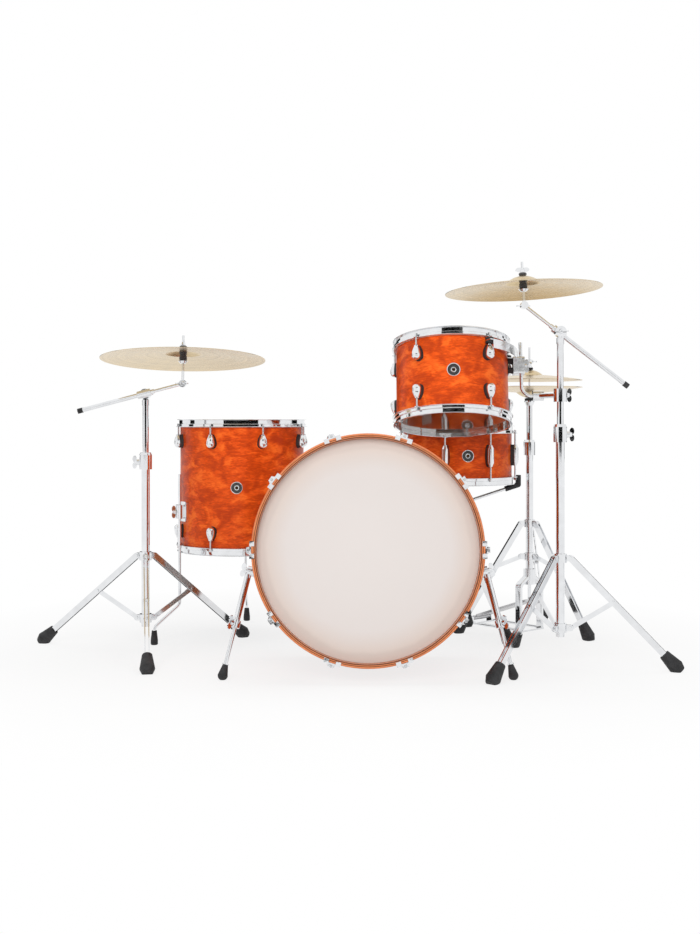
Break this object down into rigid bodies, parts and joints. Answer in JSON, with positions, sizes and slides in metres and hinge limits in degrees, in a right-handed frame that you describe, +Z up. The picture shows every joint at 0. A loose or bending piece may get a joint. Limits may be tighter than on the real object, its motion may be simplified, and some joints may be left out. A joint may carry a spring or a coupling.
{
  "type": "acoustic drum kit",
  "caption": "Acoustic drum kit in orange-red stained wood with bass drum, rack tom, floor tom, snare, hi-hat and cymbals on boom stands.",
  "frame": {"origin": "middle of the kit's footprint, on the floor", "axes": "+Z up, +Y from the audience to the player, +X to the audience's right"},
  "size_m": [1.953, 1.1453, 1.1778],
  "materials": {
    "stained_wood": "satin clear coat over orange-red stain",
    "coated_film": "coated film, slightly rough",
    "clear_film": "clear film",
    "chrome_metal": "polished plating",
    "rod_steel": "plated steel",
    "steel_wire": "drawn wire",
    "cast_aluminium": "satin casting",
    "bronze": "lathed bronze",
    "rubber": "matt",
    "felt": "pressed felt"
  },
  "bodies": {
    "kit_base": {"bass_batter_head": "coated_film", "bass_claws": "chrome_metal", "bass_front_head": "coated_film", "bass_hoops": "stained_wood", "bass_lugs": "chrome_metal", "bass_shell": "stained_wood", "bass_spur_brackets": "chrome_metal", "bass_tension_rods": "rod_steel", "floor_tom_heads": "coated_film", "floor_tom_hoops": "chrome_metal", "floor_tom_leg_brackets": "chrome_metal", "floor_tom_lugs": "chrome_metal", "floor_tom_shell": "stained_wood", "floor_tom_tension_rods": "rod_steel", "hihat_bottom_cymbal": "bronze", "hihat_stand_base": "chrome_metal", "left_stand_base": "chrome_metal", "right_stand_base": "chrome_metal", "snare_stand_base": "chrome_metal", "stand_feet": "rubber"},
    "left_spur": {"left_spur_tube": "chrome_metal"},
    "left_spur_end": {"left_spur_rod": "chrome_metal", "left_spur_foot": "rubber"},
    "right_spur": {"right_spur_tube": "chrome_metal"},
    "right_spur_end": {"right_spur_rod": "chrome_metal", "right_spur_foot": "rubber"},
    "floor_tom_leg_1": {"floor_tom_leg_front": "chrome_metal", "floor_tom_foot_front": "rubber"},
    "floor_tom_leg_2": {"floor_tom_leg_side": "chrome_metal", "floor_tom_foot_side": "rubber"},
    "floor_tom_leg_3": {"floor_tom_leg_rear": "chrome_metal", "floor_tom_foot_rear": "rubber"},
    "left_upper": {"left_upper_tube": "chrome_metal"},
    "left_boom": {"left_boom_arm": "chrome_metal", "left_cymbal_felts": "felt"},
    "left_crash": {"left_cymbal": "bronze"},
    "right_upper": {"right_upper_tube": "chrome_metal", "tom_holder": "chrome_metal"},
    "right_boom": {"right_boom_arm": "chrome_metal", "right_cymbal_felts": "felt"},
    "right_crash": {"right_cymbal": "bronze"},
    "rack_tom": {"rack_tom_batter_head": "coated_film", "rack_tom_hoops": "chrome_metal", "rack_tom_lugs": "chrome_metal", "rack_tom_mount": "chrome_metal", "rack_tom_resonant_head": "clear_film", "rack_tom_shell": "stained_wood", "rack_tom_tension_rods": "rod_steel"},
    "snare": {"snare_basket": "chrome_metal", "snare_heads": "coated_film", "snare_hoops": "chrome_metal", "snare_lugs": "chrome_metal", "snare_shell": "stained_wood", "snare_strainer": "chrome_metal", "snare_tension_rods": "rod_steel", "snare_wires": "steel_wire"},
    "throw_off": {"throw_off_lever": "chrome_metal"},
    "hihat_rod": {"hihat_pull_rod": "chrome_metal", "hihat_top_cymbal": "bronze"},
    "hihat_board": {"hihat_pedal": "cast_aluminium"}
  },
  "joints": [
    {"name": "left_spur_fold", "type": "hinge", "parent": "kit_base", "child": "left_spur", "pos_m": [-0.25872, -0.39062, 0.28692], "axis": [0.9735, 0, -0.2286], "range_deg": [0, 100]},
    {"name": "left_spur_extend", "type": "slide", "parent": "left_spur", "child": "left_spur_end", "axis": [0.2154, 0.3353, 0.9172], "range_m": [0, 0.05]},
    {"name": "right_spur_fold", "type": "hinge", "parent": "kit_base", "child": "right_spur", "pos_m": [0.41252, -0.39062, 0.28692], "axis": [0.9735, 0, 0.2286], "range_deg": [0, 100]},
    {"name": "right_spur_extend", "type": "slide", "parent": "right_spur", "child": "right_spur_end", "axis": [-0.2154, 0.3353, 0.9172], "range_m": [0, 0.05]},
    {"name": "floor_tom_leg_front", "type": "slide", "parent": "kit_base", "child": "floor_tom_leg_1", "axis": [0, 0, 1], "range_m": [0, 0.12]},
    {"name": "floor_tom_leg_side", "type": "slide", "parent": "kit_base", "child": "floor_tom_leg_2", "axis": [0, 0, 1], "range_m": [0, 0.12]},
    {"name": "floor_tom_leg_rear", "type": "slide", "parent": "kit_base", "child": "floor_tom_leg_3", "axis": [0, 0, 1], "range_m": [0, 0.12]},
    {"name": "left_stand_height", "type": "slide", "parent": "kit_base", "child": "left_upper", "axis": [0, 0, 1], "range_m": [-0.04, 0.1]},
    {"name": "left_boom_tilt", "type": "hinge", "parent": "left_upper", "child": "left_boom", "pos_m": [-0.6081, -0.0485, 0.796], "axis": [0, -1, 0], "range_deg": [-8, 20]},
    {"name": "left_cymbal_rock", "type": "hinge", "parent": "left_boom", "child": "left_crash", "pos_m": [-0.48918, -0.06377, 0.93489], "axis": [1, 0, 0], "range_deg": [-6, 6], "stiffness_Nm_per_rad": 3},
    {"name": "right_stand_height", "type": "slide", "parent": "kit_base", "child": "right_upper", "axis": [0, 0, 1], "range_m": [0, 0.12]},
    {"name": "right_boom_tilt", "type": "hinge", "parent": "right_upper", "child": "right_boom", "pos_m": [0.6369, -0.3085, 0.971], "axis": [0, 1, 0], "range_deg": [-8, 12]},
    {"name": "right_cymbal_rock", "type": "hinge", "parent": "right_boom", "child": "right_crash", "pos_m": [0.53214, -0.2795, 1.13566], "axis": [1, 0, 0], "range_deg": [-6, 6], "stiffness_Nm_per_rad": 3},
    {"name": "rack_tom_tilt", "type": "hinge", "parent": "right_upper", "child": "rack_tom", "pos_m": [0.598, -0.23151, 0.78688], "axis": [-1, 0, 0], "range_deg": [-5, 10]},
    {"name": "snare_tilt", "type": "hinge", "parent": "kit_base", "child": "snare", "pos_m": [0.3819, 0.1945, 0.416], "axis": [-1, 0, 0], "range_deg": [-4, 8]},
    {"name": "throw_off_flip", "type": "hinge", "parent": "snare", "child": "throw_off", "pos_m": [0.4961, 0.35759, 0.565], "axis": [-0.8192, 0.5736, 0], "range_deg": [0, 70]},
    {"name": "hihat_pull", "type": "slide", "parent": "kit_base", "child": "hihat_rod", "axis": [0, 0, 1], "range_m": [-0.0222, 0], "stiffness_N_per_m": 2000, "springref_m": 0.02},
    {"name": "hihat_press", "type": "hinge", "parent": "kit_base", "child": "hihat_board", "pos_m": [0.48785, 0.48597, 0.02], "axis": [0.7547, 0.6561, 0], "range_deg": [0, 6]}
  ],
  "couplings": [
    {"joint": "hihat_press", "follows": "hihat_pull", "rad_per_m": -4.335}
  ]
}
